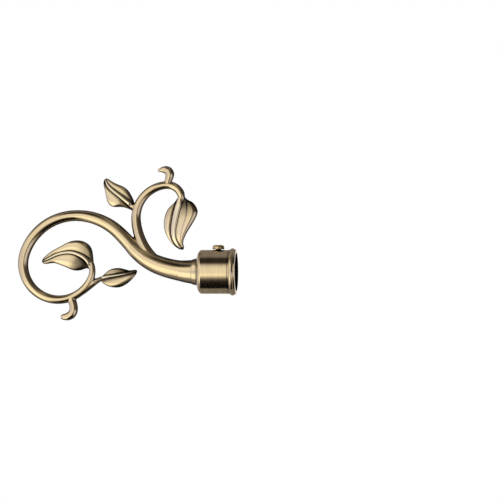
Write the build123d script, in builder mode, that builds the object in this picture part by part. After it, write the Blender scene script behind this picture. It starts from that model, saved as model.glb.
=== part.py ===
"""Curtain finial: a cast scroll with four leaves, screwed to a turned socket for the end of the rod.

Millimetres. The origin is the centre of the socket's mouth, +X points out of the mouth along
the rod, +Z is up, and the scroll lies in the XZ plane.
"""

from build123d import *
from math import cos, radians, sin
import os

os.makedirs("parts", exist_ok=True)

# Rod and socket, where the rod stops at a ledge ahead of the fixing screw's head
rod_diameter = 25.4
rod_clearance = 0.3
rod_depth = 18.6
ledge_width = 2.0
socket_wall = 1.8
socket_length = 26.3
end_wall = 2.5
inner_corner = 1.0
shoulder_length = 3.0
shoulder_drop = 5.4

# Turned trim at the mouth: lip, bead, step and groove, each measured along the rod
lip_width = 1.1
lip_height = 0.5
lip_edge = 0.35
bead_width = 3.0
bead_height = 1.2
step_width = 0.75
step_height = 0.25
groove_width = 0.5
groove_depth = 0.25

# Set screw that clamps the rod, M4 with a pan head
set_screw_setback = 12.1
set_screw_diameter = 4.0
set_screw_clearance = 0.05
set_screw_lift = 0.4
set_head_diameter = 8.0
set_head_height = 3.1
set_tip_gap = 0.1

# Screw and washer that hold the casting to the socket's end wall, M5 with a pan head
fixing_diameter = 5.0
fixing_length = 12.0
fixing_clearance = 0.25
fixing_head_diameter = 9.5
fixing_head_height = 3.7
casting_hole_clearance = 0.05
casting_hole_spare = 1.5
washer_inner_clearance = 0.1
washer_outer_diameter = 9.2
washer_thickness = 1.2
washer_split = 0.8

# Tip of both screws, and their heads' round edge and cross recess as shares of the head
screw_tip_chamfer = 0.5
head_edge_share = 0.55
recess_length_share = 0.5
recess_width_share = 0.14
recess_depth_share = 0.5

# Collar of the casting, which flares towards the socket, and how far inside it the stem starts
collar_radius = 9.2
collar_end_radius = 8.35
collar_width = 3.6
stem_inset = 1.0

# Scroll stem from the collar to its leaf: bend radius, turn seen from the front
# (clockwise is negative) and the stem's own radius where each bend ends
neck_radius = 8.4
neck_bend = 71.3
neck_turn = -9.0
neck_end = 6.9
rise_bend = 71.3
rise_turn = -13.3
rise_end = 6.3
shoulder_bend = 43.1
shoulder_turn = -27.3
shoulder_end = 4.9
reach_bend = 125.0
reach_turn = 5.6
reach_end = 4.6
crown_bend = 41.6
crown_turn = 44.7
crown_end = 3.7
fall_bend = 36.9
fall_turn = 69.8
fall_end = 3.65
loop_bend = 24.0
loop_turn = 172.0
loop_end = 2.5
closing_bend = 15.0
closing_turn = 40.0
closing_end = 2.0

# Midrib of the scroll's own leaf, which carries the stem on
scroll_rib_entry_bend = 7.6
scroll_rib_entry_turn = 44.6
scroll_rib_bend = 24.0
scroll_rib_turn = 68.0
scroll_rib_middle = 1.5
scroll_rib_end = 0.7

# Branch that leaves the stem and hangs its leaf over the socket
branch_place = 0.81
branch_departure = -18.0
branch_start = 4.2
branch_rise_bend = 42.4
branch_rise_turn = -48.0
branch_rise_end = 3.3
branch_arch_bend = 22.2
branch_arch_turn = -85.1
branch_arch_end = 2.7
branch_top_bend = 14.8
branch_top_turn = -15.9
branch_top_end = 2.65
branch_drop_bend = 9.2
branch_drop_turn = -81.3
branch_drop_end = 2.75

# Midrib of the branch's leaf
crown_rib_entry_bend = 14.4
crown_rib_entry_turn = -33.6
crown_rib_entry_end = 2.1
crown_rib_bend = 21.8
crown_rib_turn = 66.0
crown_rib_end = 0.8

# Bud: the small leaf on the outside of the branch
bud_place = 0.22
bud_departure = 64.0
bud_rib_start = 1.9
bud_rib_bend = 300.0
bud_rib_turn = 4.0
bud_rib_middle = 1.2
bud_rib_tip_bend = 12.0
bud_rib_tip_turn = -42.0
bud_rib_end = 0.6

# Tail: the small leaf whose stalk leaves the underside of the loop
tail_place = 0.867
tail_stalk_start = 2.6
tail_stalk_bend = 57.0
tail_stalk_turn = -15.4
tail_stalk_end = 1.8
tail_rib_entry_bend = 18.7
tail_rib_entry_turn = -15.3
tail_rib_middle = 1.2
tail_rib_bend = 150.0
tail_rib_turn = 6.0
tail_rib_end = 0.6

# Hook on top of the branch
top_hook_place = 0.6
top_hook_departure = 71.5
top_hook_start = 2.7
top_hook_stalk_bend = 40.0
top_hook_stalk_turn = 8.0
top_hook_stalk_end = 2.7
top_hook_curl_bend = 4.2
top_hook_curl_turn = 105.0
top_hook_curl_end = 2.5
top_hook_tip_bend = 16.0
top_hook_tip_turn = 8.0
top_hook_tip = 1.3

# Hook under the loop
low_hook_place = 0.755
low_hook_departure = -87.0
low_hook_start = 2.9
low_hook_stalk_bend = 22.9
low_hook_stalk_turn = -20.0
low_hook_stalk_end = 2.8
low_hook_curl_bend = 5.3
low_hook_curl_turn = -100.0
low_hook_tip = 2.2

# Leaves: length from the root to the tip, and how the chord leans from the stem's heading
scroll_leaf_length = 34.0
scroll_leaf_lean = 73.1
crown_leaf_length = 34.3
crown_leaf_lean = -1.2
bud_length = 30.0
bud_lean = -3.5
tail_length = 25.7
tail_lean = -10.6

# Relief of a leaf: lobes swell to a share of their own width, and a thin web carries the midrib
lobe_swell = 0.27
large_lobe_limit = 2.9
small_lobe_limit = 2.3
web_half_thickness = 0.8
web_margin = 0.15

# Section of a lobe: thickness of its edge and height of its flank as shares of the swell,
# and how far in from either side the flank stands as a share of the lobe's width
edge_share = 0.15
flank_height = 0.65
flank_inset = 0.12

# Where the sections of a leaf stand along its sides, and how closely its midrib is followed
leaf_stations = (0, 0.06, 0.14, 0.25, 0.37, 0.5, 0.63, 0.76, 0.87, 0.95, 1)
rib_steps = 24

# Sizes worked out from the ones above
bore_radius = rod_diameter / 2 + rod_clearance
recess_radius = bore_radius - ledge_width
body_radius = bore_radius + socket_wall
floor_x = end_wall - socket_length
butt_x = -socket_length
set_hole_radius = set_screw_diameter / 2 + set_screw_clearance
fixing_hole_radius = fixing_diameter / 2 + fixing_clearance
casting_hole_radius = fixing_diameter / 2 + casting_hole_clearance
fixing_seat_x = floor_x + washer_thickness
fixing_reach = fixing_length - washer_thickness - end_wall


def scroll_direction(heading):
    """Direction in the scroll's plane, from an angle measured anticlockwise from +X."""
    return Vector(cos(radians(heading)), 0, sin(radians(heading)))


def turned(direction, angle):
    """The direction turned in the scroll's plane, anticlockwise seen from the front."""
    return direction.rotate(Axis((0, 0, 0), (0, -1, 0)), angle)


def tangent_bends(start, direction, bends):
    """Joins arcs end to end in the scroll's plane, each one tangent to the last."""
    arcs = []
    with BuildLine(Plane.XZ):
        for bend, turn in bends:
            arc = JernArc(start, direction, bend, turn)
            arcs.append(arc)
            start = arc @ 1
            direction = arc % 1
    return arcs


def stem(arcs, radii):
    """Sweeps a tapering round section along each arc, with one radius for each place where
    arcs meet."""
    with BuildPart() as stem_part:
        for arc, first, last in zip(arcs, radii, radii[1:]):
            with BuildLine():
                add(arc)
            for share, radius in ((0, first), (1, last)):
                with BuildSketch(Plane(arc @ share, x_dir=(0, 1, 0), z_dir=arc % share)):
                    Circle(radius)
            sweep(multisection=True)
    return stem_part.part


def ball_end(arcs, radius):
    """Round end of a hook."""
    with BuildPart() as ball:
        with Locations(arcs[-1] @ 1):
            Sphere(radius)
    return ball.part


def leaf_section(foot, top, rib, lobe_limit):
    """Section across a leaf from edge to edge: two swollen lobes with the web of the midrib
    between them, alike on the front and the back."""
    width = (top - foot).length
    rib_place = (rib - foot).dot((top - foot).normalized())
    near = min(max(rib_place, web_margin * width), (1 - web_margin) * width)
    far = width - near
    near_swell = min(lobe_swell * near, lobe_limit)
    far_swell = min(lobe_swell * far, lobe_limit)
    half_web = min(web_half_thickness, near_swell, far_swell)
    edge = edge_share * min(near_swell, far_swell)
    with BuildSketch(Plane(foot, x_dir=top - foot, z_dir=(top - foot).cross(Vector(0, 1, 0)))) as section:
        with BuildLine():
            face = Spline(
                (0, edge),
                (flank_inset * near, flank_height * near_swell),
                (near / 2, near_swell),
                (near - flank_inset * near, half_web),
                (near + flank_inset * far, half_web),
                (near + far / 2, far_swell),
                (width - flank_inset * far, flank_height * far_swell),
                (width, edge),
            )
            mirror(face, about=Plane.XZ)
            Line((0, edge), (0, -edge))
            Line((width, edge), (width, -edge))
        make_face()
    return section.sketch


def leaf_blade(root, direction, length, left_side, right_side, rib_arcs, lobe_limit):
    """Lofts the blade of a leaf between its two side outlines, given in shares of its length
    along and across the chord, from the root to the tip."""
    across = turned(direction, 90)
    sides = []
    for side in (left_side, right_side):
        with BuildLine() as outline:
            Spline(*[root + direction * (length * u) + across * (length * v) for u, v in side])
        sides.append(outline.line)
    left, right = sides
    rib_points = [arc @ (step / rib_steps) for arc in rib_arcs for step in range(rib_steps + 1)]
    with BuildPart() as blade:
        for share in leaf_stations:
            foot = right @ share
            top = left @ share
            normal = (top - foot).cross(Vector(0, 1, 0)).normalized()
            rib = min(rib_points, key=lambda point: abs((point - foot).dot(normal)))
            add(leaf_section(foot, top, rib, lobe_limit))
        loft()
    return blade.part


# Scroll stem with the midrib of its leaf
stem_start = Vector(butt_x - stem_inset, 0, 0)
stem_bends = [
    (neck_bend, neck_turn),
    (rise_bend, rise_turn),
    (shoulder_bend, shoulder_turn),
    (reach_bend, reach_turn),
    (crown_bend, crown_turn),
    (fall_bend, fall_turn),
    (loop_bend, loop_turn),
    (closing_bend, closing_turn),
    (scroll_rib_entry_bend, scroll_rib_entry_turn),
    (scroll_rib_bend, scroll_rib_turn),
]
stem_arcs = tangent_bends(stem_start, scroll_direction(180), stem_bends)
stem_radii = [
    neck_radius,
    neck_end,
    rise_end,
    shoulder_end,
    reach_end,
    crown_end,
    fall_end,
    loop_end,
    closing_end,
    scroll_rib_middle,
    scroll_rib_end,
]
rise_arc = stem_arcs[1]
loop_arc = stem_arcs[6]
closing_arc = stem_arcs[7]
scroll_rib_arcs = stem_arcs[8:]
scroll_stem = stem(stem_arcs, stem_radii)

# Branch with the midrib of its leaf
branch_heading = turned(rise_arc % branch_place, branch_departure)
branch_bends = [
    (branch_rise_bend, branch_rise_turn),
    (branch_arch_bend, branch_arch_turn),
    (branch_top_bend, branch_top_turn),
    (branch_drop_bend, branch_drop_turn),
    (crown_rib_entry_bend, crown_rib_entry_turn),
    (crown_rib_bend, crown_rib_turn),
]
branch_arcs = tangent_bends(rise_arc @ branch_place, branch_heading, branch_bends)
branch_radii = [
    branch_start,
    branch_rise_end,
    branch_arch_end,
    branch_top_end,
    branch_drop_end,
    crown_rib_entry_end,
    crown_rib_end,
]
branch_arch_arc = branch_arcs[1]
branch_top_arc = branch_arcs[2]
branch_drop_arc = branch_arcs[3]
crown_rib_arcs = branch_arcs[4:]
branch = stem(branch_arcs, branch_radii)

# Midrib of the bud
bud_heading = turned(branch_arch_arc % bud_place, bud_departure)
bud_arcs = tangent_bends(
    branch_arch_arc @ bud_place,
    bud_heading,
    [(bud_rib_bend, bud_rib_turn), (bud_rib_tip_bend, bud_rib_tip_turn)],
)
bud_rib = stem(bud_arcs, [bud_rib_start, bud_rib_middle, bud_rib_end])

# Stalk and midrib of the tail, which leaves the loop along it
tail_arcs = tangent_bends(
    loop_arc @ tail_place,
    loop_arc % tail_place,
    [
        (tail_stalk_bend, tail_stalk_turn),
        (tail_rib_entry_bend, tail_rib_entry_turn),
        (tail_rib_bend, tail_rib_turn),
    ],
)
tail_stalk = stem(tail_arcs, [tail_stalk_start, tail_stalk_end, tail_rib_middle, tail_rib_end])

# Hooks
top_hook_heading = turned(branch_top_arc % top_hook_place, top_hook_departure)
top_hook_arcs = tangent_bends(
    branch_top_arc @ top_hook_place,
    top_hook_heading,
    [
        (top_hook_stalk_bend, top_hook_stalk_turn),
        (top_hook_curl_bend, top_hook_curl_turn),
        (top_hook_tip_bend, top_hook_tip_turn),
    ],
)
top_hook = stem(top_hook_arcs, [top_hook_start, top_hook_stalk_end, top_hook_curl_end, top_hook_tip])
low_hook_heading = turned(loop_arc % low_hook_place, low_hook_departure)
low_hook_arcs = tangent_bends(
    loop_arc @ low_hook_place,
    low_hook_heading,
    [(low_hook_stalk_bend, low_hook_stalk_turn), (low_hook_curl_bend, low_hook_curl_turn)],
)
low_hook = stem(low_hook_arcs, [low_hook_start, low_hook_stalk_end, low_hook_tip])

# Leaf blades, each side outline in shares of the leaf's length: along the chord, across it
scroll_leaf = leaf_blade(
    closing_arc @ 1,
    turned(closing_arc % 1, scroll_leaf_lean),
    scroll_leaf_length,
    [(0.04, 0.05), (0.14, 0.085), (0.3, 0.125), (0.5, 0.08), (0.74, 0.02), (0.92, 0.04), (0.99, 0.01)],
    [(-0.02, 0.0), (-0.025, -0.11), (-0.01, -0.29), (0.12, -0.425), (0.35, -0.47), (0.66, -0.325),
     (0.94, -0.11), (0.99, -0.01)],
    scroll_rib_arcs,
    large_lobe_limit,
)
crown_leaf = leaf_blade(
    branch_drop_arc @ 1,
    turned(branch_drop_arc % 1, crown_leaf_lean),
    crown_leaf_length,
    [(-0.02, 0.06), (0.05, 0.17), (0.16, 0.28), (0.25, 0.31), (0.36, 0.285), (0.58, 0.155),
     (0.8, 0.035), (1, 0.025)],
    [(0.0, -0.07), (0.08, -0.15), (0.27, -0.31), (0.5, -0.36), (0.79, -0.27), (0.94, -0.14), (1.0, -0.02)],
    crown_rib_arcs,
    large_lobe_limit,
)
bud = leaf_blade(
    branch_arch_arc @ bud_place,
    turned(bud_heading, bud_lean),
    bud_length,
    [(0.04, 0.07), (0.18, 0.13), (0.32, 0.22), (0.46, 0.33), (0.57, 0.345), (0.69, 0.29), (0.98, 0.05)],
    [(0.12, -0.05), (0.22, -0.11), (0.45, -0.17), (0.59, -0.155), (0.75, -0.09), (0.9, -0.055),
     (0.99, -0.01)],
    bud_arcs,
    small_lobe_limit,
)
tail = leaf_blade(
    tail_arcs[1] @ 0,
    turned(tail_arcs[1] % 0, tail_lean),
    tail_length,
    [(-0.035, 0.04), (0.1, 0.095), (0.23, 0.16), (0.34, 0.195), (0.5, 0.19), (0.85, 0.045), (0.99, 0.015)],
    [(0.0, -0.04), (0.06, -0.12), (0.16, -0.22), (0.33, -0.3), (0.46, -0.315), (0.79, -0.21),
     (0.99, -0.015)],
    tail_arcs[1:],
    small_lobe_limit,
)

# The casting: everything above in one piece, with its collar and the hole for the fixing screw
with BuildPart() as scroll_casting:
    with BuildSketch(Plane.YZ.offset(butt_x)):
        Circle(collar_radius)
    with BuildSketch(Plane.YZ.offset(butt_x - collar_width)):
        Circle(collar_end_radius)
    loft()
    add(scroll_stem)
    add(branch)
    add(scroll_leaf)
    add(crown_leaf)
    add(bud_rib)
    add(bud)
    add(tail_stalk)
    add(tail)
    add(top_hook)
    add(ball_end(top_hook_arcs, top_hook_tip))
    add(low_hook)
    add(ball_end(low_hook_arcs, low_hook_tip))
    with BuildSketch(Plane.YZ.offset(butt_x)):
        Circle(casting_hole_radius)
    extrude(amount=-(fixing_reach + casting_hole_spare), mode=Mode.SUBTRACT)
scroll_casting.part.label = "scroll_casting"
export_step(scroll_casting.part, "parts/scroll_casting.step")

# Turned socket
bead_start = -lip_width
bead_end = bead_start - bead_width
step_end = bead_end - step_width
groove_end = step_end - groove_width
shoulder_start = shoulder_length - socket_length
with BuildPart() as rod_socket:
    with BuildSketch(Plane.XZ):
        with BuildLine():
            Polyline(
                (0, 0),
                (0, body_radius + lip_height - lip_edge),
                (-lip_edge, body_radius + lip_height),
                (bead_start, body_radius + lip_height),
            )
            ThreePointArc(
                (bead_start, body_radius + lip_height),
                ((bead_start + bead_end) / 2, body_radius + bead_height),
                (bead_end, body_radius + step_height),
            )
            Polyline(
                (bead_end, body_radius + step_height),
                (step_end, body_radius + step_height),
                (step_end, body_radius - groove_depth),
                (groove_end, body_radius - groove_depth),
                (groove_end, body_radius),
                (shoulder_start, body_radius),
            )
            EllipticalCenterArc(
                (shoulder_start, body_radius - shoulder_drop),
                shoulder_length,
                shoulder_drop,
                90,
                arc_size=90,
            )
            Polyline((butt_x, body_radius - shoulder_drop), (butt_x, 0), (0, 0))
        make_face()
    revolve(axis=Axis.X)
    with BuildSketch(Plane.XZ) as inside:
        with Locations((floor_x, 0)):
            Rectangle(-floor_x, recess_radius, align=(Align.MIN, Align.MIN))
        fillet(inside.vertices().group_by(Axis.X)[0].sort_by(Axis.Y)[-1], inner_corner)
        with Locations((-rod_depth, 0)):
            Rectangle(rod_depth, bore_radius, align=(Align.MIN, Align.MIN))
    revolve(axis=Axis.X, mode=Mode.SUBTRACT)
    with BuildSketch(Plane.YZ.offset(floor_x)):
        Circle(fixing_hole_radius)
    extrude(amount=-2 * end_wall, mode=Mode.SUBTRACT)
    with BuildSketch(Plane.XY):
        with Locations((-set_screw_setback, 0)):
            Circle(set_hole_radius)
    extrude(amount=2 * body_radius, mode=Mode.SUBTRACT)
rod_socket.part.label = "rod_socket"
export_step(rod_socket.part, "parts/rod_socket.step")


def pan_head_screw(seat, head_radius, head_height, shank_radius, shank_length, tip_chamfer):
    """Pan-head screw on a plane that lies under its head, with the head along the plane's normal."""
    with BuildPart() as screw:
        with BuildSketch(seat):
            Circle(head_radius)
        extrude(amount=head_height)
        fillet(screw.edges().group_by(Axis(seat.origin, seat.z_dir))[-1], head_edge_share * head_height)
        with BuildSketch(seat):
            Circle(shank_radius)
        extrude(amount=-shank_length)
        chamfer(screw.edges().group_by(Axis(seat.origin, seat.z_dir))[0], tip_chamfer)
        with BuildSketch(seat.offset(head_height)):
            Rectangle(2 * head_radius * recess_length_share, 2 * head_radius * recess_width_share)
            Rectangle(2 * head_radius * recess_width_share, 2 * head_radius * recess_length_share)
        extrude(amount=-head_height * recess_depth_share, mode=Mode.SUBTRACT)
    return screw.part


# Set screw, backed off so that its tip stays out of the bore
set_seat = Plane((-set_screw_setback, 0, body_radius + set_screw_lift))
set_shank_length = set_seat.origin.Z - bore_radius - set_tip_gap
with BuildPart() as set_screw:
    add(
        pan_head_screw(
            set_seat,
            set_head_diameter / 2,
            set_head_height,
            set_screw_diameter / 2,
            set_shank_length,
            screw_tip_chamfer,
        )
    )
set_screw.part.label = "set_screw"
export_step(set_screw.part, "parts/set_screw.step")

# Fixing screw, with its head in the socket and its thread in the casting
with BuildPart() as fixing_screw:
    add(
        pan_head_screw(
            Plane((fixing_seat_x, 0, 0), x_dir=(0, 1, 0), z_dir=(1, 0, 0)),
            fixing_head_diameter / 2,
            fixing_head_height,
            fixing_diameter / 2,
            fixing_length,
            screw_tip_chamfer,
        )
    )
fixing_screw.part.label = "fixing_screw"
export_step(fixing_screw.part, "parts/fixing_screw.step")

# Spring washer between the head and the socket's floor
with BuildPart() as spring_washer:
    with BuildSketch(Plane.YZ.offset(floor_x)):
        Circle(washer_outer_diameter / 2)
        Circle(fixing_diameter / 2 + washer_inner_clearance, mode=Mode.SUBTRACT)
        with Locations((0, -washer_outer_diameter / 2)):
            Rectangle(washer_split, washer_outer_diameter, mode=Mode.SUBTRACT)
    extrude(amount=washer_thickness)
spring_washer.part.label = "spring_washer"
export_step(spring_washer.part, "parts/spring_washer.step")
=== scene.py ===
import math

import bmesh
import bpy
import numpy as np
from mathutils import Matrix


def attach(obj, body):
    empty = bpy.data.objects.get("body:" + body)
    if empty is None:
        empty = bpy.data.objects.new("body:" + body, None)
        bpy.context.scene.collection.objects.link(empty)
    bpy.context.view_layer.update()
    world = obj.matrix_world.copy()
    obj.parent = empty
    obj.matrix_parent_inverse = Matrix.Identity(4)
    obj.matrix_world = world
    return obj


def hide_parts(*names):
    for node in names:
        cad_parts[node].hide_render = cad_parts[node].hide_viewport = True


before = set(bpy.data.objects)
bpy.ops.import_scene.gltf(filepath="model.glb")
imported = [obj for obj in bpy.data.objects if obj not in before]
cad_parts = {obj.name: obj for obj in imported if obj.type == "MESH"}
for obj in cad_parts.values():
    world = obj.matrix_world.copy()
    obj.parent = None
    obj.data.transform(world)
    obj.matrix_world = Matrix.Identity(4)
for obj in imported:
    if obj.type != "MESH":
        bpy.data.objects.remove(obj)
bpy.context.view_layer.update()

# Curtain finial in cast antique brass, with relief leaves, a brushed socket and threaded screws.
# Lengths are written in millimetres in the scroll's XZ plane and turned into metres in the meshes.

MM = 0.001
# The photograph looks at the scroll's face from a little to the right
AZIMUTH = math.radians(5.3)

# How finely splines, arcs and rounded tube ends are cut
SPLINE_STEPS = 800
ARC_STEP = 0.4
LEAST_ARC_STEPS = 6
LIMB_STEPS = 80
CAP_RINGS = 8
TIP_RADIUS = 0.02


def distances(points):
    """How far along a polyline each of its points is."""
    return np.concatenate([[0.0], np.cumsum(np.linalg.norm(np.diff(points, axis=0), axis=1))])


def smooth_curve(points, count):
    """Evenly spaced points on a natural cubic spline through the given ones."""
    knots = np.asarray(points, float)
    place = distances(knots)
    gap = np.diff(place)
    size = len(knots)
    system = np.eye(size)
    right = np.zeros_like(knots)
    for i in range(1, size - 1):
        system[i, i - 1] = gap[i - 1]
        system[i, i] = 2 * (gap[i - 1] + gap[i])
        system[i, i + 1] = gap[i]
        right[i] = 6 * ((knots[i + 1] - knots[i]) / gap[i] - (knots[i] - knots[i - 1]) / gap[i - 1])
    bend = np.linalg.solve(system, right)
    where = np.linspace(0, place[-1], SPLINE_STEPS)
    span = np.clip(np.searchsorted(place, where, side="right") - 1, 0, size - 2)
    width = gap[span][:, None]
    after = (where - place[span])[:, None]
    before = width - after
    dense = (
        bend[span] * before**3 / (6 * width)
        + bend[span + 1] * after**3 / (6 * width)
        + (knots[span] / width - bend[span] * width / 6) * before
        + (knots[span + 1] / width - bend[span + 1] * width / 6) * after
    )
    return resample(dense, count)


def resample(points, count):
    """Points spread evenly along a polyline."""
    length = distances(points)
    even = np.linspace(0, length[-1], count)
    return np.column_stack([np.interp(even, length, points[:, k]) for k in range(points.shape[1])])


def tangent_arcs(start, heading, bends, first_radius):
    """Arcs joined end to end, each given as bend radius, turn in degrees and the stem's radius
    where it ends. Returns the path, its radii and where each arc ends."""
    position = np.array(start, float)
    angle = math.radians(heading)
    radius = first_radius
    path = [position]
    radii = [radius]
    ends = []
    for bend, turn, end_radius in bends:
        side = math.copysign(1.0, turn)
        centre = position + side * bend * np.array([-math.sin(angle), math.cos(angle)])
        steps = max(LEAST_ARC_STEPS, int(bend * abs(math.radians(turn)) / ARC_STEP))
        for step in range(1, steps + 1):
            share = step / steps
            now = angle + math.radians(turn) * share
            path.append(centre + side * bend * np.array([math.sin(now), -math.cos(now)]))
            radii.append(radius + (end_radius - radius) * share)
        angle += math.radians(turn)
        position = path[-1]
        radius = end_radius
        ends.append((position, math.degrees(angle)))
    return np.array(path), np.array(radii), ends


def tube(path, radii, round_start=False, round_end=False, sides=40):
    """Closed round tube along a path in the scroll's plane: vertices in millimetres, and faces."""
    path = np.asarray(path, float)
    radii = np.asarray(radii, float)
    for at_end, wanted in ((False, round_start), (True, round_end)):
        if not wanted:
            continue
        tip, back = (path[-1], path[-2]) if at_end else (path[0], path[1])
        ahead = (tip - back) / np.linalg.norm(tip - back)
        radius = radii[-1] if at_end else radii[0]
        turn = np.linspace(0, math.pi / 2, CAP_RINGS + 1)[1:]
        more = tip + np.outer(np.sin(turn) * radius, ahead)
        less = np.maximum(np.cos(turn) * radius, TIP_RADIUS)
        path = np.vstack([path, more]) if at_end else np.vstack([more[::-1], path])
        radii = np.concatenate([radii, less]) if at_end else np.concatenate([less[::-1], radii])
    along = np.gradient(path, axis=0)
    along /= np.linalg.norm(along, axis=1)[:, None]
    across = np.column_stack([-along[:, 1], along[:, 0]])
    turn = np.linspace(0, 2 * math.pi, sides, endpoint=False)
    out = np.cos(turn)[None, :, None] * across[:, None, :] * radii[:, None, None]
    depth = np.sin(turn)[None, :] * radii[:, None]
    flat = path[:, None, :] + out
    vertices = np.stack([flat[..., 0], depth, flat[..., 1]], axis=-1).reshape(-1, 3)
    faces = ring_faces(len(path), sides)
    first = len(vertices)
    vertices = np.vstack([vertices, [path[0][0], 0, path[0][1]], [path[-1][0], 0, path[-1][1]]])
    last_ring = (len(path) - 1) * sides
    for k in range(sides):
        follow = (k + 1) % sides
        faces.append((first, k, follow))
        faces.append((first + 1, last_ring + follow, last_ring + k))
    return vertices, faces


def ring_faces(rows, columns):
    """Quads between rings of a grid that closes on itself across."""
    faces = []
    for i in range(rows - 1):
        for k in range(columns):
            follow = (k + 1) % columns
            faces.append(
                (i * columns + k, (i + 1) * columns + k, (i + 1) * columns + follow, i * columns + follow)
            )
    return faces


def joined(parts):
    """Vertices and faces of several meshes in one."""
    vertices = []
    faces = []
    count = 0
    for some_vertices, some_faces in parts:
        vertices.append(some_vertices)
        faces += [tuple(i + count for i in face) for face in some_faces]
        count += len(some_vertices)
    return np.vstack(vertices), faces


def new_object(name, vertices, faces, values=None):
    """Mesh object in metres, smooth, with outward normals and a value at each point."""
    mesh = bpy.data.meshes.new(name)
    mesh.from_pydata((np.asarray(vertices) * MM).tolist(), [], faces)
    mesh.validate()
    if values is not None:
        # Each point's value: patina and painted shade above 0, a painted highlight below 0
        layer = mesh.attributes.new("patina_and_painted_light", "FLOAT", "POINT")
        layer.data.foreach_set("value", np.asarray(values, np.float32))
    mesh.shade_smooth()
    piece = bpy.data.objects.new(name, mesh)
    bpy.context.scene.collection.objects.link(piece)
    outward(piece)
    return piece


def outward(piece):
    """Turns all faces of a closed mesh outward."""
    work = bmesh.new()
    work.from_mesh(piece.data)
    bmesh.ops.recalc_face_normals(work, faces=work.faces)
    work.to_mesh(piece.data)
    work.free()


def applied(piece, modifiers):
    """Applies modifiers, each given as a type and its settings, to the mesh of a piece."""
    for kind, settings in modifiers:
        modifier = piece.modifiers.new(kind.lower(), kind)
        for key, value in settings.items():
            setattr(modifier, key, value)
    graph = bpy.context.evaluated_depsgraph_get()
    shaped = bpy.data.meshes.new_from_object(piece.evaluated_get(graph))
    piece.modifiers.clear()
    old = piece.data
    piece.data = shaped
    bpy.data.meshes.remove(old)
    piece.data.shade_smooth()


# Stem, branch and smaller limbs, which are one casting
STEM_START = (-27.3, 0.0)
STEM_FOOT_RADIUS = 8.4
STEM_BENDS = [
    (71.3, -9.0, 6.9),
    (71.3, -13.3, 6.3),
    (43.1, -27.3, 4.9),
    (125.0, 5.6, 4.6),
    (41.6, 44.7, 3.7),
    (36.9, 69.8, 3.65),
    (24.0, 172.0, 2.5),
    (15.0, 40.0, 2.0),
    (7.6, 44.6, 1.25),
    (24.0, 8.0, 0.9),
]
stem_path, stem_radii, stem_ends = tangent_arcs(STEM_START, 180, STEM_BENDS, STEM_FOOT_RADIUS)

# The branch leaves the stem along its second arc, turned a little away from it
BRANCH_PLACE = 0.81
BRANCH_DEPARTURE = -18.0
BRANCH_FOOT_RADIUS = 4.2
rise_bend, rise_turn, rise_radius = STEM_BENDS[1]
rise = [(rise_bend, rise_turn * BRANCH_PLACE, rise_radius)]
branch_foot, rise_heading = tangent_arcs(*stem_ends[0], rise, STEM_BENDS[0][2])[2][0]
BRANCH_BENDS = [
    (42.4, -48.0, 3.3),
    (22.2, -85.1, 2.7),
    (14.8, -15.9, 2.65),
    (9.2, -58.0, 2.75),
    (9.2, -23.3, 2.25),
    (6.0, -45.0, 0.8),
]
branch_heading = rise_heading + BRANCH_DEPARTURE
branch_path, branch_radii, _ = tangent_arcs(branch_foot, branch_heading, BRANCH_BENDS, BRANCH_FOOT_RADIUS)

# Curves of the smaller limbs: along the curve the radius goes evenly from each value to the next
PETIOLE = [
    (-107.0, -15.0), (-102.2, -11.6), (-98.6, -8.9), (-95.4, -6.7), (-92.2, -5.1), (-88.4, -3.8),
]
PETIOLE_RADII = [2.3, 2.5, 2.4, 2.2, 1.6, 0.8]
BUD_STALK = [(-67.4, 41.6), (-69.8, 43.9), (-73.2, 46.9), (-75.5, 48.8)]
BUD_STALK_RADII = [2.0, 1.2, 0.8]
TOP_HOOK = [
    (-46.6, 58.0), (-46.1, 60.9), (-45.2, 63.7), (-45.0, 66.0), (-46.0, 67.8), (-48.7, 68.7),
    (-52.0, 68.2),
]
TOP_HOOK_RADII = [1.7, 2.3, 2.6, 2.9, 3.1, 3.0, 2.6, 2.0, 1.2]
LOW_HOOK = [
    (-112.6, -16.6), (-110.9, -20.0), (-110.0, -23.8), (-110.6, -27.4), (-113.4, -29.9),
    (-116.9, -30.4),
]
LOW_HOOK_RADII = [2.1, 2.8, 2.85, 2.85, 3.0, 2.95, 2.65, 2.05]


def limb(points, radii):
    """Curve and radii of a tube through a few points."""
    share = np.linspace(0, 1, LIMB_STEPS)
    return smooth_curve(points, LIMB_STEPS), np.interp(share, np.linspace(0, 1, len(radii)), radii)


# Collar and neck in one turn, as half widths at distances from the socket's end
COLLAR = [
    (0.0, 9.2), (1.3, 8.95), (3.4, 8.4), (3.6, 8.1), (4.6, 7.95), (7.0, 7.62), (12.2, 6.92),
    (22.0, 6.4),
]
NECK_START = (-26.3, 0.0)
NECK_LENGTH = 22.0
NECK_STEPS = 400
# The neck stands just proud of the stem, and sinks into it where it ends
NECK_EASE = [(0.0, 0.03), (14.0, 0.03), (NECK_LENGTH, -0.25)]
neck_path = resample(np.vstack([NECK_START, stem_path[: len(stem_path) // 4]]), NECK_STEPS)
neck_length = distances(neck_path)
neck_path = neck_path[neck_length < NECK_LENGTH]
neck_length = neck_length[: len(neck_path)]
neck_radii = np.interp(neck_length, *zip(*COLLAR)) + np.interp(neck_length, *zip(*NECK_EASE))

casting = new_object(
    "casting",
    *joined(
        [
            tube(stem_path, stem_radii, round_end=True, sides=64),
            tube(branch_path, branch_radii, round_start=True, round_end=True),
            tube(*limb(PETIOLE, PETIOLE_RADII), round_start=True, round_end=True),
            tube(*limb(BUD_STALK, BUD_STALK_RADII), round_start=True, round_end=True),
            tube(*limb(TOP_HOOK, TOP_HOOK_RADII), round_end=True),
            tube(*limb(LOW_HOOK, LOW_HOOK_RADII), round_end=True),
        ]
    ),
)
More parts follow.
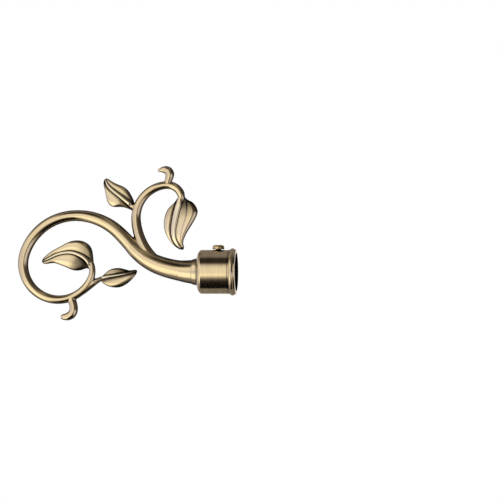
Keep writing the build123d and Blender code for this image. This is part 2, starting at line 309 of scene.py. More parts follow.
# The limbs grow into each other: the remesh joins them, and the smoothing rounds where they meet
VOXEL = 0.35
SMOOTHING = {"factor": 0.5, "iterations": 12}
applied(casting, [("REMESH", {"mode": "VOXEL", "voxel_size": VOXEL * MM, "adaptivity": 0.0})])
applied(casting, [("SMOOTH", SMOOTHING)])
neck = new_object("neck", *tube(neck_path, neck_radii, sides=128))

# Steps of a leaf along its rib, across a lobe and across its bead
ROWS = 200
LOBE_STEPS = 49
BEAD_STEPS = 17
# Relief of the leaves, in millimetres: the rim's half thickness, and how steeply it grows inward
RIM_HEIGHT = 0.08
RIM_SLOPE = 0.42
LEAST_WIDTH = 0.03
# The groove as a share of the lobe's height, the bead's rise as a share of its half width, and how
# square the bead is. All three settle over the first part of the leaf
GROOVE_HEIGHT = 0.85
BEAD_RISE = 0.7
BEAD_SQUARENESS = 0.45
SETTLE_SHARE = 0.16
FALL_POWER = 1.15
TIP_SHARE = 0.05
# Patina with painted shade at the rim, painted shade in the groove and on the bead's edges, and how far
# the bead's top is painted bright, as wear with a painted highlight
RIM_PATINA_AND_SHADE = 1.0
RIM_PATINA_AND_SHADE_WIDTH = 0.55
GROOVE_SHADE = 1.4
EDGE_SHADE = 1.5
EDGE_SHADE_WIDTH = 0.16
BEAD_WEAR_AND_HIGHLIGHT = 0.7
TONE_STEPS = 400
# Creases: how soon they fade in and out, how wide their step is, and how wide their painted shade is
CREASE_FADE = 0.08
CREASE_SLOPE = 0.16
CREASE_WIDTH = 0.38


def leaf(name, right, left, rib, bead, swell, crests, tones, shade, creases=()):
    """Leaf with two swollen lobes and a bead along its midrib, alike on both faces.

    right, left and rib are curves from the root to the tip, and bead is the bead's half width at even
    steps along it. swell is the lobes' half thickness. A crest says where a lobe is thickest, from its
    rim at 0 to the bead at 1. Tones are painted shade on each lobe at even steps along it, below 0 where
    a painted highlight brightens it, and shade is how wide the painted shade beside the bead is. A crease
    is a curve in one lobe, with its step, the darkness of the painted shade along it and where it starts
    and ends.
    """
    share = np.linspace(0, 1, ROWS)
    sides = {"right": smooth_curve(right, ROWS), "left": smooth_curve(left, ROWS)}
    middle = smooth_curve(rib, ROWS)
    half = np.interp(share, np.linspace(0, 1, len(bead)), bead)
    lobe = (1 - np.cos(np.linspace(0, math.pi, LOBE_STEPS))) / 2
    bead_steps = np.linspace(-math.pi / 2, math.pi / 2, BEAD_STEPS)
    settle = np.clip(share / SETTLE_SHARE, 0, 1)
    settle = settle * settle * (3 - 2 * settle)
    widths = {}
    toward = {}
    height = {}
    for side, rim in sides.items():
        reach = middle - rim
        full = np.linalg.norm(reach, axis=1)
        toward[side] = reach / np.maximum(full, 1e-6)[:, None]
        widths[side] = np.maximum(full - half, LEAST_WIDTH)
        height[side] = RIM_HEIGHT + swell * (1 - np.exp(-RIM_SLOPE * widths[side] / swell))
    grooves = {side: settle * GROOVE_HEIGHT * height[side] for side in sides}
    groove = (grooves["right"] + grooves["left"]) / 2
    top = (1 - settle) * half + settle * (groove + BEAD_RISE * half)
    columns = {}
    for side, rim in sides.items():
        crest = crests[side]
        u = lobe[None, :]
        rise = np.sqrt(1 - (1 - np.clip(u / crest, 0, 1)) ** 2)
        fall = (1 - np.cos(math.pi * np.clip((u - crest) / (1 - crest), 0, 1) ** FALL_POWER)) / 2
        low = grooves[side][:, None]
        high = height[side][:, None]
        y = np.where(u < crest, high * rise, high - (high - low) * fall)
        depth = widths[side][:, None] * u
        from_bead = widths[side][:, None] - depth
        # Painted shade along each lobe from its tones, and a painted highlight where they fall below 0
        tone_places = np.linspace(0, 1, len(tones[side]))
        tone = smooth_curve(np.column_stack([tone_places, tones[side]]), TONE_STEPS)
        stain = np.interp(share, tone[:, 0], tone[:, 1])[:, None]
        # Patina with painted shade along the rim
        stain = stain + RIM_PATINA_AND_SHADE * np.exp(-((depth / RIM_PATINA_AND_SHADE_WIDTH) ** 2))
        # Painted shade in the groove beside the bead
        stain = stain + GROOVE_SHADE * np.exp(-((from_bead / shade[side]) ** 2)) * settle[:, None]
        for crease_side, curve, step, dark, first, last in creases:
            if crease_side != side:
                continue
            line = smooth_curve(curve, ROWS)
            inside = np.sum((line - rim) * toward[side], axis=1)[:, None]
            fade_in = np.clip((share - first) / CREASE_FADE, 0, 1)
            fade_out = np.clip((last - share) / CREASE_FADE, 0, 1)
            fade = (fade_in * fade_out)[:, None]
            beyond = 1 / (1 + np.exp(np.clip((depth - inside) / CREASE_SLOPE, -30, 30)))
            y = y + step * fade * beyond * rise
            # Painted shade along the crease
            stain = stain + dark * fade * np.exp(-(((depth - inside) / CREASE_WIDTH) ** 2))
        place = rim[:, None, :] + toward[side][:, None, :] * depth[..., None]
        columns[side] = (place, y, stain)
    spread = np.sin(bead_steps)[None, :] * half[:, None]
    slant = (grooves["left"] - grooves["right"])[:, None] * np.sin(bead_steps)[None, :] / 2
    squareness = (1 - BEAD_SQUARENESS * settle)[:, None]
    lift = groove[:, None] + slant + (top - groove)[:, None] * np.cos(bead_steps)[None, :] ** squareness
    outward_way = np.where(
        spread[..., None] < 0, toward["right"][:, None, :], -toward["left"][:, None, :]
    )
    bead_place = middle[:, None, :] + outward_way * spread[..., None]
    from_edge = half[:, None] - np.abs(spread)
    # Painted shade on the bead's edges
    bead_stain = EDGE_SHADE * np.exp(-((from_edge / EDGE_SHADE_WIDTH) ** 2)) * settle[:, None]
    # Painted highlight on the bead's top, partly rubbed wear
    bead_stain = bead_stain - BEAD_WEAR_AND_HIGHLIGHT * settle[:, None] * np.cos(bead_steps)[None, :]
    bead_columns = (bead_place, lift, bead_stain)
    place, y, stain = (
        np.concatenate([right_part, bead_part[:, 1:-1], left_part[:, ::-1]], axis=1)
        for right_part, bead_part, left_part in zip(columns["right"], bead_columns, columns["left"])
    )
    end_shape = np.minimum(np.sqrt(np.clip((1 - share) / TIP_SHARE, 0, 1)), 1)
    y = y * end_shape[:, None]
    front = np.stack([place[..., 0], -y, place[..., 1]], axis=-1)
    back = np.stack([place[..., 0], y, place[..., 1]], axis=-1)[:, 1:-1][:, ::-1]
    ring = np.concatenate([front, back], axis=1)
    ring_stain = np.concatenate([stain, stain[:, 1:-1][:, ::-1]], axis=1)
    count = ring.shape[1]
    faces = ring_faces(ROWS, count)
    for first in (0, (ROWS - 1) * count):
        for k in range(front.shape[1] - 1):
            corners = [first + k, first + k + 1, first + count - k - 1, first + (count - k) % count]
            unique = list(dict.fromkeys(corners))
            if len(unique) > 2:
                faces.append(tuple(unique))
    return new_object(name, ring.reshape(-1, 3), faces, np.clip(ring_stain.reshape(-1), -1, 1))


# Outlines, midribs and a crease, from the root of each leaf to its tip
SCROLL_UPPER = [
    (-95.7, 1.6), (-96.4, 6.6), (-96.8, 10.7), (-97.3, 14.0), (-98.5, 16.9), (-100.8, 19.2),
    (-104.2, 20.8), (-108.3, 21.2), (-112.3, 20.5), (-119.1, 17.1), (-125.8, 13.4), (-129.5, 10.3),
    (-131.4, 7.9), (-131.6, 7.2),
]
SCROLL_LOWER = [
    (-99.8, 2.2), (-101.0, 2.4), (-102.9, 1.8), (-106.2, 0.9), (-110.3, 1.1), (-115.0, 3.0),
    (-119.1, 4.6), (-123.1, 5.8), (-126.5, 5.6), (-129.2, 5.3), (-131.1, 6.1), (-131.6, 7.1),
]
SCROLL_RIB = [
    (-97.6, 0.2), (-98.1, 2.9), (-99.1, 5.7), (-100.6, 7.7), (-102.7, 9.6), (-105.6, 11.3),
    (-108.9, 12.6), (-112.3, 13.2), (-115.7, 13.0), (-119.1, 12.3), (-122.4, 11.2), (-125.8, 9.5),
    (-128.5, 8.2), (-131.5, 7.2),
]
CROWN_LEFT = [
    (-39.9, 49.6), (-42.1, 46.4), (-45.5, 43.1), (-47.5, 39.7), (-48.8, 35.0), (-48.9, 30.2),
    (-47.9, 26.2), (-45.8, 22.1), (-42.8, 18.4), (-39.4, 15.7), (-37.1, 14.9), (-36.0, 14.9),
]
CROWN_RIGHT = [
    (-35.0, 50.8), (-33.3, 48.9), (-30.0, 47.1), (-27.3, 44.1), (-26.1, 41.0), (-26.6, 38.0),
    (-28.6, 34.0), (-31.3, 29.6), (-33.8, 25.5), (-35.4, 21.8), (-35.8, 18.8), (-35.4, 15.7),
    (-35.7, 15.0),
]
CROWN_RIB = [
    (-37.9, 51.2), (-38.7, 45.8), (-39.6, 42.4), (-40.8, 37.7), (-41.6, 33.6), (-42.3, 29.6),
    (-42.4, 25.5), (-41.6, 21.5), (-39.4, 18.1), (-35.9, 14.95),
]
CROWN_CREASE = [
    (-34.7, 47.1), (-32.9, 43.1), (-32.9, 38.3), (-34.0, 34.3), (-36.0, 29.6), (-37.7, 24.8),
    (-38.4, 20.1), (-37.9, 17.1),
]
BUD_LOWER = [
    (-70.2, 41.0), (-73.8, 42.7), (-78.6, 43.6), (-84.3, 44.1), (-86.7, 46.4), (-88.0, 49.8),
    (-89.0, 55.2), (-89.8, 59.3), (-89.4, 61.6), (-88.6, 62.6),
]
BUD_UPPER = [
    (-68.6, 45.4), (-69.5, 48.5), (-71.1, 51.8), (-73.2, 54.9), (-76.5, 57.4), (-81.3, 59.4),
    (-85.3, 61.7), (-88.0, 62.8), (-88.5, 62.7),
]
BUD_RIB = [
    (-69.1, 43.1), (-73.2, 46.8), (-78.6, 51.2), (-84.0, 55.2), (-87.0, 58.3), (-88.55, 62.6),
]
TAIL_UPPER = [
    (-93.1, -4.5), (-90.0, -2.2), (-87.3, 0.2), (-84.6, 1.8), (-80.6, 2.6), (-75.9, 2.0),
    (-71.1, 1.1), (-67.4, 1.2), (-67.0, 0.95),
]
TAIL_LOWER = [
    (-91.9, -6.0), (-90.0, -7.7), (-86.7, -9.6), (-81.9, -10.6), (-78.6, -10.3), (-74.5, -8.4),
    (-71.1, -5.7), (-68.4, -2.6), (-67.0, 0.2), (-66.95, 0.85),
]
TAIL_RIB = [
    (-93.0, -4.9), (-91.4, -4.2), (-86.7, -3.0), (-81.3, -2.2), (-75.9, -1.3), (-71.1, -0.3),
    (-67.0, 0.9),
]

scroll_leaf = leaf(
    "scroll_leaf",
    SCROLL_UPPER,
    SCROLL_LOWER,
    SCROLL_RIB,
    bead=[1.9, 1.65, 1.25, 1.1, 1.1, 1.05, 0.95, 0.7, 0.08],
    swell=2.7,
    crests={"right": 0.45, "left": 0.5},
    tones={
        "right": [0.9, 0.8, 0.6, 0.3, -0.05, -0.15, 0.0, 0.15, 0.2],
        "left": [0.95, 0.9, 0.8, 0.5, -0.05, -0.2, 0.0, 0.15, 0.2],
    },
    shade={"right": 0.6, "left": 0.9},
)
crown_leaf = leaf(
    "crown_leaf",
    CROWN_RIGHT,
    CROWN_LEFT,
    CROWN_RIB,
    bead=[2.3, 2.3, 2.15, 2.1, 2.0, 1.8, 1.55, 1.15, 0.1],
    swell=2.6,
    crests={"right": 0.32, "left": 0.6},
    tones={
        "right": [0.95, 0.9, 0.6, 0.15, -0.2, -0.3, -0.2, 0.0, 0.0],
        "left": [0.85, 0.65, 0.3, 0.0, -0.3, -0.3, -0.3, -0.2, 0.0],
    },
    shade={"right": 0.35, "left": 0.7},
    creases=[("right", CROWN_CREASE, 0.25, 0.6, 0.1, 0.97)],
)
bud = leaf(
    "bud",
    BUD_LOWER,
    BUD_UPPER,
    BUD_RIB,
    bead=[1.5, 1.35, 1.25, 1.15, 1.05, 0.8, 0.1],
    swell=2.2,
    crests={"right": 0.45, "left": 0.6},
    tones={
        "right": [0.3, 0.1, -0.1, -0.2, -0.3, -0.2, 0.0],
        "left": [0.9, 0.7, 0.35, 0.05, -0.1, -0.2, 0.0],
    },
    shade={"right": 1.4, "left": 0.9},
)
tail = leaf(
    "tail",
    TAIL_LOWER,
    TAIL_UPPER,
    TAIL_RIB,
    bead=[1.2, 0.85, 0.75, 0.7, 0.65, 0.5, 0.08],
    swell=2.2,
    crests={"right": 0.45, "left": 0.6},
    tones={
        "right": [0.6, 0.1, 0.0, -0.1, -0.2, -0.2, 0.1],
        "left": [0.5, 0.2, 0.3, 0.6, 0.9, 0.95, 0.95],
    },
    shade={"right": 2.0, "left": 0.6},
)

# Sides and rings of a screw, and how far its head falls from the middle to the rim
SCREW_SIDES = 72
HEAD_RINGS = 40
EDGE_RINGS = 12
HEAD_FALL = 0.10
# Small bevel under the head, in millimetres
UNDER_BEVEL = 0.12
# The cross recess as shares of the head, and how soft its sides and ends are, in millimetres
RECESS_WIDTH = 0.17
RECESS_REACH = 0.55
RECESS_DEPTH = 0.5
SIDE_SOFTNESS = 0.05
END_SOFTNESS = 0.07
# The thread: its depth as a share of the pitch, steps in a turn, steps in which it fades in and
# out, what is left of it at the end, and the chamfer there, in millimetres
THREAD_DEPTH = 0.6
TURN_STEPS = 10
STEPS_IN = 4
STEPS_OUT = 5
LEFT_AT_END = 0.4
CHAMFER = 0.4
CHAMFER_SLOPE = 0.9


def screw_mesh(head_radius, head_height, edge, shank_radius, length, pitch):
    """Pan-head screw with a cross recess and a thread, standing on Z with its head up from 0."""
    turn = np.linspace(0, 2 * math.pi, SCREW_SIDES, endpoint=False)

    def ring(radius, z):
        """One ring of the grid."""
        level = np.full_like(turn, z)
        return np.stack([radius * np.cos(turn), radius * np.sin(turn), level], axis=-1)[None]

    reach = np.linspace(0, 1, HEAD_RINGS)
    dome = head_height * (1 - HEAD_FALL * reach**2)
    inner = (head_radius - edge) * reach
    wide = inner[:, None] * np.cos(turn)[None, :]
    deep = inner[:, None] * np.sin(turn)[None, :]
    mask = np.zeros_like(wide)
    for one, other in ((wide, deep), (deep, wide)):
        side = 1 / (1 + np.exp((np.abs(one) - RECESS_WIDTH * head_radius) / SIDE_SOFTNESS))
        end = 1 / (1 + np.exp((np.abs(other) - RECESS_REACH * head_radius) / END_SOFTNESS))
        mask = np.maximum(mask, side * end)
    top = dome[:, None] - RECESS_DEPTH * head_height * mask
    rings = [np.stack([wide, deep, top], axis=-1)]
    arc = np.linspace(0, math.pi / 2, EDGE_RINGS)[1:]
    round_radius = head_radius - edge + edge * np.sin(arc)
    round_height = head_height * (1 - HEAD_FALL) - edge + edge * np.cos(arc)
    rings += [ring(radius, z) for radius, z in zip(round_radius, round_height)]
    under_head = [(head_radius, UNDER_BEVEL), (head_radius - UNDER_BEVEL, 0.0), (shank_radius, 0.0)]
    rings += [ring(radius, z) for radius, z in under_head]
    steps = int(length / pitch * TURN_STEPS)
    for k in range(1, steps + 1):
        z = -length * k / steps
        phase = (z / pitch + turn / (2 * math.pi)) % 1.0
        wave = 1 - np.abs(2 * phase - 1)
        fade = min(1.0, k / STEPS_IN, (steps - k) / STEPS_OUT + LEFT_AT_END)
        groove = THREAD_DEPTH * pitch * (1 - wave) * fade
        rings.append(ring(shank_radius - groove - max(0, CHAMFER - (length + z)) * CHAMFER_SLOPE, z))
    grid = np.concatenate(rings)
    vertices = grid.reshape(-1, 3)
    faces = ring_faces(len(grid), SCREW_SIDES)
    tip = len(vertices)
    vertices = np.vstack([vertices, [0, 0, -length]])
    last = (len(grid) - 1) * SCREW_SIDES
    for k in range(SCREW_SIDES):
        faces.append((tip, last + (k + 1) % SCREW_SIDES, last + k))
    return vertices, faces


# Where the undersides of the two heads are: one on top of the socket, one on its axis
SET_SCREW_SEAT = (-12.1, 0.0, 15.2)
FIXING_SCREW_SEAT = (-22.6, 0.0, 0.0)
screw_vertices, screw_faces = screw_mesh(
    head_radius=4.0, head_height=3.1, edge=1.5, shank_radius=2.0, length=2.1, pitch=0.7
)
set_screw = new_object("set_screw_threaded", screw_vertices + SET_SCREW_SEAT, screw_faces)
screw_vertices, screw_faces = screw_mesh(
    head_radius=4.75, head_height=3.7, edge=1.7, shank_radius=2.5, length=12.0, pitch=0.8
)
# The fixing screw lies along X, with its head towards the mouth
screw_vertices = np.roll(screw_vertices, 1, axis=1) + FIXING_SCREW_SEAT
fixing_screw = new_object("fixing_screw_threaded", screw_vertices, screw_faces)


def new_material(name):
    """Material, with its node tree and its shader."""
    material = bpy.data.materials.new(name)
    material.use_nodes = True
    return material, material.node_tree, material.node_tree.nodes["Principled BSDF"]


def add_math(tree, operation, *values):
    """Math node, with numbers or sockets as its inputs."""
    node = tree.nodes.new("ShaderNodeMath")
    node.operation = operation
    for socket, value in zip(node.inputs, values):
        if isinstance(value, (int, float)):
            socket.default_value = value
        else:
            tree.links.new(value, socket)
    return node.outputs[0]


def add_mix(tree, factor, first, second):
    """Colour between two, which are colours or sockets."""
    node = tree.nodes.new("ShaderNodeMix")
    node.data_type = "RGBA"
    tree.links.new(factor, node.inputs[0])
    for name, value in ((6, first), (7, second)):
        if isinstance(value, tuple):
            node.inputs[name].default_value = (*value, 1.0)
        else:
            tree.links.new(value, node.inputs[name])
    return node.outputs[2]


def add_noise(tree, scale, detail=4.0, stretch=(1.0, 1.0, 1.0), roughness=0.55):
    """Noise in the part's own coordinates, in metres, stretched along the axes."""
    place = tree.nodes.new("ShaderNodeTexCoord")
    mapping = tree.nodes.new("ShaderNodeMapping")
    mapping.inputs["Scale"].default_value = stretch
    noise = tree.nodes.new("ShaderNodeTexNoise")
    noise.inputs["Scale"].default_value = scale
    noise.inputs["Detail"].default_value = detail
    noise.inputs["Roughness"].default_value = roughness
    tree.links.new(place.outputs["Object"], mapping.inputs[0])
    tree.links.new(mapping.outputs[0], noise.inputs["Vector"])
    return noise.outputs["Fac"]


def add_coordinates(tree, kind):
    """X, Y and Z of a place or a direction."""
    place = tree.nodes.new("ShaderNodeTexCoord")
    split = tree.nodes.new("ShaderNodeSeparateXYZ")
    tree.links.new(place.outputs[kind], split.inputs[0])
    return split.outputs


def add_step(tree, value, low, high, first=0.0, last=1.0):
    """Smooth step of a value from one number to another."""
    node = tree.nodes.new("ShaderNodeMapRange")
    node.interpolation_type = "SMOOTHSTEP"
    for name, number in (("From Min", low), ("From Max", high), ("To Min", first), ("To Max", last)):
        node.inputs[name].default_value = number
    tree.links.new(value, node.inputs["Value"])
    return node.outputs[0]


BRASS = (0.90, 0.765, 0.50)
# Brighter brass for painted highlights, partly rubbed wear
RUBBED_AND_HIGHLIGHT = (1.0, 0.92, 0.70)
# Dark brass for patina and painted shade
STAIN_AND_SHADE = (0.014, 0.011, 0.010)
SCREW_BRASS = (0.80, 0.61, 0.32)
STEEL = (0.52, 0.52, 0.53)
STEEL_STAIN = (0.05, 0.05, 0.05)
# Stain in the hollows: how far they are felt, in millimetres, and how strongly
HOLLOW_REACH = 1.6
HOLLOW_SAMPLES = 8
HOLLOW_GAIN = 2.0
# Patina and painted shade on the sides, darker as a surface turns away from front and back: how far it
# still faces front or back where this starts and where it is full
SIDE_START = 0.70
SIDE_FULL = 0.44
# Clouds in the stain, and a warmer brass in patches
CLOUD_SCALE = 160.0
CLOUD_RANGE = 0.5
CLOUD_LEAST = 0.75
WARM_SCALE = 60.0
WARM = (0.93, 0.89, 0.80)
# Painted shade in the bore: its radius, where it starts and ends along the axis, in millimetres, and its
# darkness
BORE_RADIUS = 13.15
BORE_START = -0.2
BORE_END = -26.0
BORE_SHADE = 0.96
STAIN_ROUGHNESS = 0.05


def metal(name, bright, dark, rough, stain_strength, brush, brush_depth, in_bore=False, side_stain=0.0):
    """Metal with dark patina in its recesses and fine brush marks; where asked, patina and painted shade
    on its sides and painted shade in its bore; and painted shade and painted highlights from the mesh's
    values.

    brush is the marks' scale, their stretch along the axes and how much they change the tone, and
    brush_depth is how deep they are in millimetres.
    """
    brush_scale, brush_stretch, brush_tone = brush
    material, tree, shader = new_material(name)
    shader.inputs["Metallic"].default_value = 1.0
    shade = tree.nodes.new("ShaderNodeAmbientOcclusion")
    shade.samples = HOLLOW_SAMPLES
    shade.inputs["Distance"].default_value = HOLLOW_REACH * MM
    hollow = add_math(tree, "SUBTRACT", 1.0, shade.outputs["AO"])
    hollow = add_math(tree, "MULTIPLY", hollow, HOLLOW_GAIN)
    # Patina in the hollows, and the patina, painted shade and painted highlights held in the mesh's
    # values
    painted = tree.nodes.new("ShaderNodeAttribute")
    painted.attribute_name = "patina_and_painted_light"
    stain = add_math(tree, "MAXIMUM", hollow, painted.outputs["Fac"])
    # Patina and painted shade where a surface turns sideways
    if side_stain:
        facing = add_math(tree, "ABSOLUTE", add_coordinates(tree, "Normal")["Y"])
        turned = add_step(tree, facing, SIDE_START, SIDE_FULL, 0.0, side_stain)
        stain = add_math(tree, "MAXIMUM", stain, turned)
    cloud = add_math(tree, "MULTIPLY_ADD", add_noise(tree, CLOUD_SCALE), CLOUD_RANGE, CLOUD_LEAST)
    stain = add_math(tree, "MULTIPLY", stain, cloud)
    stain = add_math(tree, "MULTIPLY", stain, stain_strength)
    # Painted shade inside the bore
    if in_bore:
        x, y, z = add_coordinates(tree, "Object")
        from_axis = add_math(tree, "MULTIPLY_ADD", z, z, add_math(tree, "MULTIPLY", y, y))
        inside = add_math(tree, "LESS_THAN", add_math(tree, "SQRT", from_axis), BORE_RADIUS * MM)
        inside = add_math(tree, "MULTIPLY", inside, add_math(tree, "LESS_THAN", x, BORE_START * MM))
        inside = add_math(tree, "MULTIPLY", inside, add_math(tree, "GREATER_THAN", x, BORE_END * MM))
        stain = add_math(tree, "MAXIMUM", stain, add_math(tree, "MULTIPLY", inside, BORE_SHADE))
    stain = add_math(tree, "MINIMUM", stain, 1.0)
    marks = add_noise(tree, brush_scale, detail=3.0, stretch=brush_stretch, roughness=0.6)
    tone = add_math(tree, "MULTIPLY_ADD", marks, brush_tone, 1.0 - 0.5 * brush_tone)
    warm = tuple(channel * factor for channel, factor in zip(bright, WARM))
    brass = add_mix(tree, add_noise(tree, WARM_SCALE, detail=2.0), bright, warm)
    # Painted highlight where the mesh's values fall below 0, partly rubbed wear
    rubbed_and_highlight = add_math(tree, "MULTIPLY", painted.outputs["Fac"], -1.0)
    rubbed_and_highlight = add_math(tree, "MAXIMUM", rubbed_and_highlight, 0.0)
    brass = add_mix(tree, rubbed_and_highlight, brass, RUBBED_AND_HIGHLIGHT)
    scaled = tree.nodes.new("ShaderNodeVectorMath")
    scaled.operation = "SCALE"
    tree.links.new(brass, scaled.inputs[0])
    tree.links.new(tone, scaled.inputs["Scale"])
    colour = add_mix(tree, stain, scaled.outputs[0], dark)
    tree.links.new(colour, shader.inputs["Base Color"])
    gloss = add_math(tree, "MULTIPLY_ADD", stain, STAIN_ROUGHNESS, rough)
    tree.links.new(gloss, shader.inputs["Roughness"])
    bump = tree.nodes.new("ShaderNodeBump")
    bump.inputs["Strength"].default_value = 1.0
    bump.inputs["Distance"].default_value = brush_depth * MM
    tree.links.new(marks, bump.inputs["Height"])
    tree.links.new(bump.outputs[0], shader.inputs["Normal"])
    return material


# Marks that are alike in all directions, and marks that run round the socket's axis
EVEN = (1.0, 1.0, 1.0)
ROUND_AXIS = (900.0, 60.0, 60.0)
cast_brass = metal(
    "cast_antique_brass", BRASS, STAIN_AND_SHADE, 0.13, 1.0, (700.0, EVEN, 0.10), 0.0005, side_stain=1.0
)
turned_brass = metal(
    "turned_antique_brass", BRASS, STAIN_AND_SHADE, 0.145, 0.9, (1.0, ROUND_AXIS, 0.6), 0.0005, in_bore=True
)
screw_brass = metal("screw_brass", SCREW_BRASS, STAIN_AND_SHADE, 0.2, 1.6, (1500.0, EVEN, 0.2), 0.001)
plated_steel = metal("plated_steel", STEEL, STEEL_STAIN, 0.3, 0.8, (1500.0, EVEN, 0.2), 0.001)

for piece, body, slot_name, material in (
    (casting, "finial", "cast_brass", cast_brass),
    (neck, "finial", "cast_brass", cast_brass),
    (scroll_leaf, "finial", "cast_brass", cast_brass),
    (crown_leaf, "finial", "cast_brass", cast_brass),
    (bud, "finial", "cast_brass", cast_brass),
    (tail, "finial", "cast_brass", cast_brass),
    (fixing_screw, "finial", "plated_steel", plated_steel),
    (set_screw, "set_screw", "screw_brass", screw_brass),
):
    piece.data.materials.clear()
    piece.data.materials.append(material)
    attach(piece, body)
for piece in (casting, neck, scroll_leaf, crown_leaf, bud, tail):
    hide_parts("scroll_casting")
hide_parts("fixing_screw")
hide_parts("set_screw")
for name, material in (("rod_socket", turned_brass), ("spring_washer", plated_steel)):
    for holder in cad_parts[name].material_slots:
        holder.material = material

# Studio: the world is the light, a pale backdrop stands behind and a pale floor lies below
world = bpy.data.worlds.new("studio")
bpy.context.scene.world = world
world.use_nodes = True
sky = world.node_tree
background = sky.nodes["Background"]
x, y, z = add_coordinates(sky, "Generated")
to_right = add_math(sky, "MULTIPLY", x, math.cos(AZIMUTH))
to_right = add_math(sky, "MULTIPLY_ADD", y, math.sin(AZIMUTH), to_right)
to_front = add_math(sky, "MULTIPLY", x, math.sin(AZIMUTH))
to_front = add_math(sky, "MULTIPLY_ADD", y, -math.cos(AZIMUTH), to_front)
from_line = add_math(sky, "MULTIPLY_ADD", z, z, add_math(sky, "MULTIPLY", to_right, to_right))
# Both numbers keep the sums safe: no division by zero, and no root of a number below zero
LEAST_FROM_LINE = 0.0001
UNDER_HALF = 0.4999
from_line = add_math(sky, "MAXIMUM", add_math(sky, "SQRT", from_line), LEAST_FROM_LINE)
# From 0 straight ahead to 1 behind
from_front = add_math(sky, "SQRT", add_math(sky, "MULTIPLY_ADD", to_front, -UNDER_HALF, 0.5))


def card(behind, angle, half, soft, near, far, blend, colour):
    """Card in front of the part, as a sector round the line to the front: its middle and half
    width in degrees, and how far from the front it starts and ends, from 0 ahead to 1 behind."""
    side = add_math(sky, "MULTIPLY", to_right, math.cos(math.radians(angle)))
    side = add_math(sky, "MULTIPLY_ADD", z, math.sin(math.radians(angle)), side)
    side = add_math(sky, "DIVIDE", side, from_line)
    low = math.cos(math.radians(min(half + soft, 180)))
    high = math.cos(math.radians(max(half - soft, 0)))
    mask = add_step(sky, side, low, high)
    if near > 0:
        mask = add_math(sky, "MULTIPLY", mask, add_step(sky, from_front, near - blend, near + blend))
    mask = add_math(sky, "MULTIPLY", mask, add_step(sky, from_front, far - blend, far + blend, 1.0, 0.0))
    return add_mix(sky, mask, behind, colour)


WHITE = (1.0, 1.0, 1.0)
ROOM = (0.22, 0.20, 0.20)
light = card(ROOM, 0, 180, 0, 0.88, 2.0, 0.05, (0.03, 0.027, 0.03))
# Large key light on the left, brightest at its lower edge, with a cool wash behind it
light = card(light, 180, 30, 14, 0.5, 1.1, 0.15, (0.62, 0.60, 0.68))
light = card(light, 176, 69, 11, 0, 0.62, 0.10, (0.92, 0.87, 0.83))
light = card(light, 180, 14, 12, 0.2, 0.75, 0.15, (0.72, 0.68, 0.78))
light = card(light, 224, 19, 7, 0.14, 0.56, 0.07, (1.25, 1.20, 1.06))
# Brown and dark cards from the top to the right
light = card(light, 78, 15, 9, 0, 0.60, 0.06, (0.30, 0.26, 0.20))
light = card(light, 30, 34, 8, 0, 0.82, 0.06, (0.09, 0.077, 0.07))
light = card(light, 18, 24, 12, 0.42, 0.76, 0.06, (0.05, 0.043, 0.042))
light = card(light, 98, 20, 10, 0.37, 0.66, 0.07, (0.024, 0.021, 0.019))
# Pinkish fill low on the right, and the dark table below
light = card(light, 335, 20, 8, 0.19, 0.56, 0.09, (0.66, 0.64, 0.76))
light = card(light, 284, 30, 4, 0, 0.92, 0.04, (0.16, 0.13, 0.10))
light = card(light, 280, 26, 4, 0.29, 0.90, 0.035, (0.004, 0.003, 0.003))
# Dim zone straight ahead and to the right of it, where the camera stands
light = card(light, 0, 95, 35, 0, 0.09, 0.06, (0.30, 0.26, 0.21))
light = card(light, 0, 180, 0, 0, 0.04, 0.035, (0.32, 0.28, 0.24))


def seen_by(tree, *kinds):
    """1 for rays of the given kinds, and 0 for others."""
    rays = tree.nodes.new("ShaderNodeLightPath")
    seen = rays.outputs[kinds[0]]
    for kind in kinds[1:]:
        seen = add_math(tree, "MAXIMUM", seen, rays.outputs[kind])
    return seen


# Seen directly the world is white, so that the part stands before white from every side
light = add_mix(sky, seen_by(sky, "Is Camera Ray", "Is Transmission Ray"), light, WHITE)
sky.links.new(light, background.inputs["Color"])
background.inputs["Strength"].default_value = 1.0

# Sides of the stage, in metres
LEFT = -0.29
RIGHT = 0.17
FRONT = 0.02
BACK = 0.8
LOW = -0.24
HIGH = 0.24


def plane(name, corners):
    """Flat stage piece from its corners in metres."""
    mesh = bpy.data.meshes.new(name)
    mesh.from_pydata(corners, [], [tuple(range(len(corners)))])
    piece = bpy.data.objects.new(name, mesh)
    bpy.context.scene.collection.objects.link(piece)
    return piece


backdrop = plane(
    "backdrop", [(LEFT, BACK, LOW), (RIGHT, BACK, LOW), (RIGHT, BACK, HIGH), (LEFT, BACK, HIGH)]
)
floor = plane("floor", [(LEFT, FRONT, LOW), (RIGHT, FRONT, LOW), (RIGHT, BACK, LOW), (LEFT, BACK, LOW)])


def add_blend(tree, factor, first, second):
    """Blend of two shaders."""
    node = tree.nodes.new("ShaderNodeMixShader")
    for socket, value in zip(node.inputs, (factor, first, second)):
        tree.links.new(value, socket)
    return node.outputs[0]


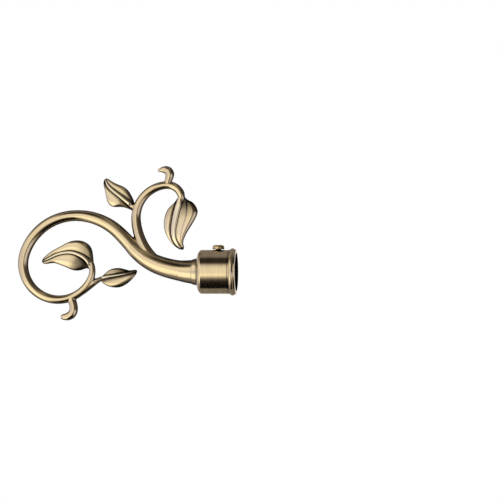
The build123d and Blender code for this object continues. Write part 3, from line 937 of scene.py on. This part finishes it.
pale, tree, shader = new_material("pale_backdrop")
shader.inputs["Base Color"].default_value = (0.9, 0.9, 0.9, 1.0)
shader.inputs["Roughness"].default_value = 0.9
glow = tree.nodes.new("ShaderNodeEmission")
glow.inputs["Color"].default_value = (*WHITE, 1.0)
seen = seen_by(tree, "Is Camera Ray", "Is Glossy Ray", "Is Transmission Ray")
front_side = add_blend(tree, seen, shader.outputs[0], glow.outputs[0])
# From behind the backdrop is clear, so that it never hides the part
clear = tree.nodes.new("ShaderNodeBsdfTransparent")
backfacing = tree.nodes.new("ShaderNodeNewGeometry").outputs["Backfacing"]
both_sides = add_blend(tree, backfacing, front_side, clear.outputs[0])
tree.links.new(both_sides, tree.nodes["Material Output"].inputs["Surface"])
backdrop.data.materials.append(pale)

# The floor glows a little for the camera, and still takes the part's shadow
FLOOR_GLOW = 0.66
pale_floor, tree, shader = new_material("pale_floor")
shader.inputs["Base Color"].default_value = (0.8, 0.8, 0.8, 1.0)
shader.inputs["Roughness"].default_value = 0.8
shader.inputs["Emission Color"].default_value = (*WHITE, 1.0)
strength = add_math(tree, "MULTIPLY", seen_by(tree, "Is Camera Ray"), FLOOR_GLOW)
tree.links.new(strength, shader.inputs["Emission Strength"])
floor.data.materials.append(pale_floor)

# Camera at the photograph's angle. Lengths are in metres, and the sensor's width in millimetres
TARGET = (0.0092, 0.0, 0.0147)
DISTANCE = 3.5
FRAME_WIDTH = 0.3356
SENSOR_WIDTH = 36.0
camera_data = bpy.data.cameras.new("camera")
camera = bpy.data.objects.new("camera", camera_data)
bpy.context.scene.collection.objects.link(camera)
camera_data.sensor_width = SENSOR_WIDTH
camera_data.lens = SENSOR_WIDTH * DISTANCE / FRAME_WIDTH
camera_data.clip_start = 0.05
camera_data.clip_end = 20.0
camera.location = (
    TARGET[0] + DISTANCE * math.sin(AZIMUTH),
    TARGET[1] - DISTANCE * math.cos(AZIMUTH),
    TARGET[2],
)
camera.rotation_euler = (math.pi / 2, 0.0, AZIMUTH)
bpy.context.scene.camera = camera
bpy.context.scene.view_settings.view_transform = "Standard"
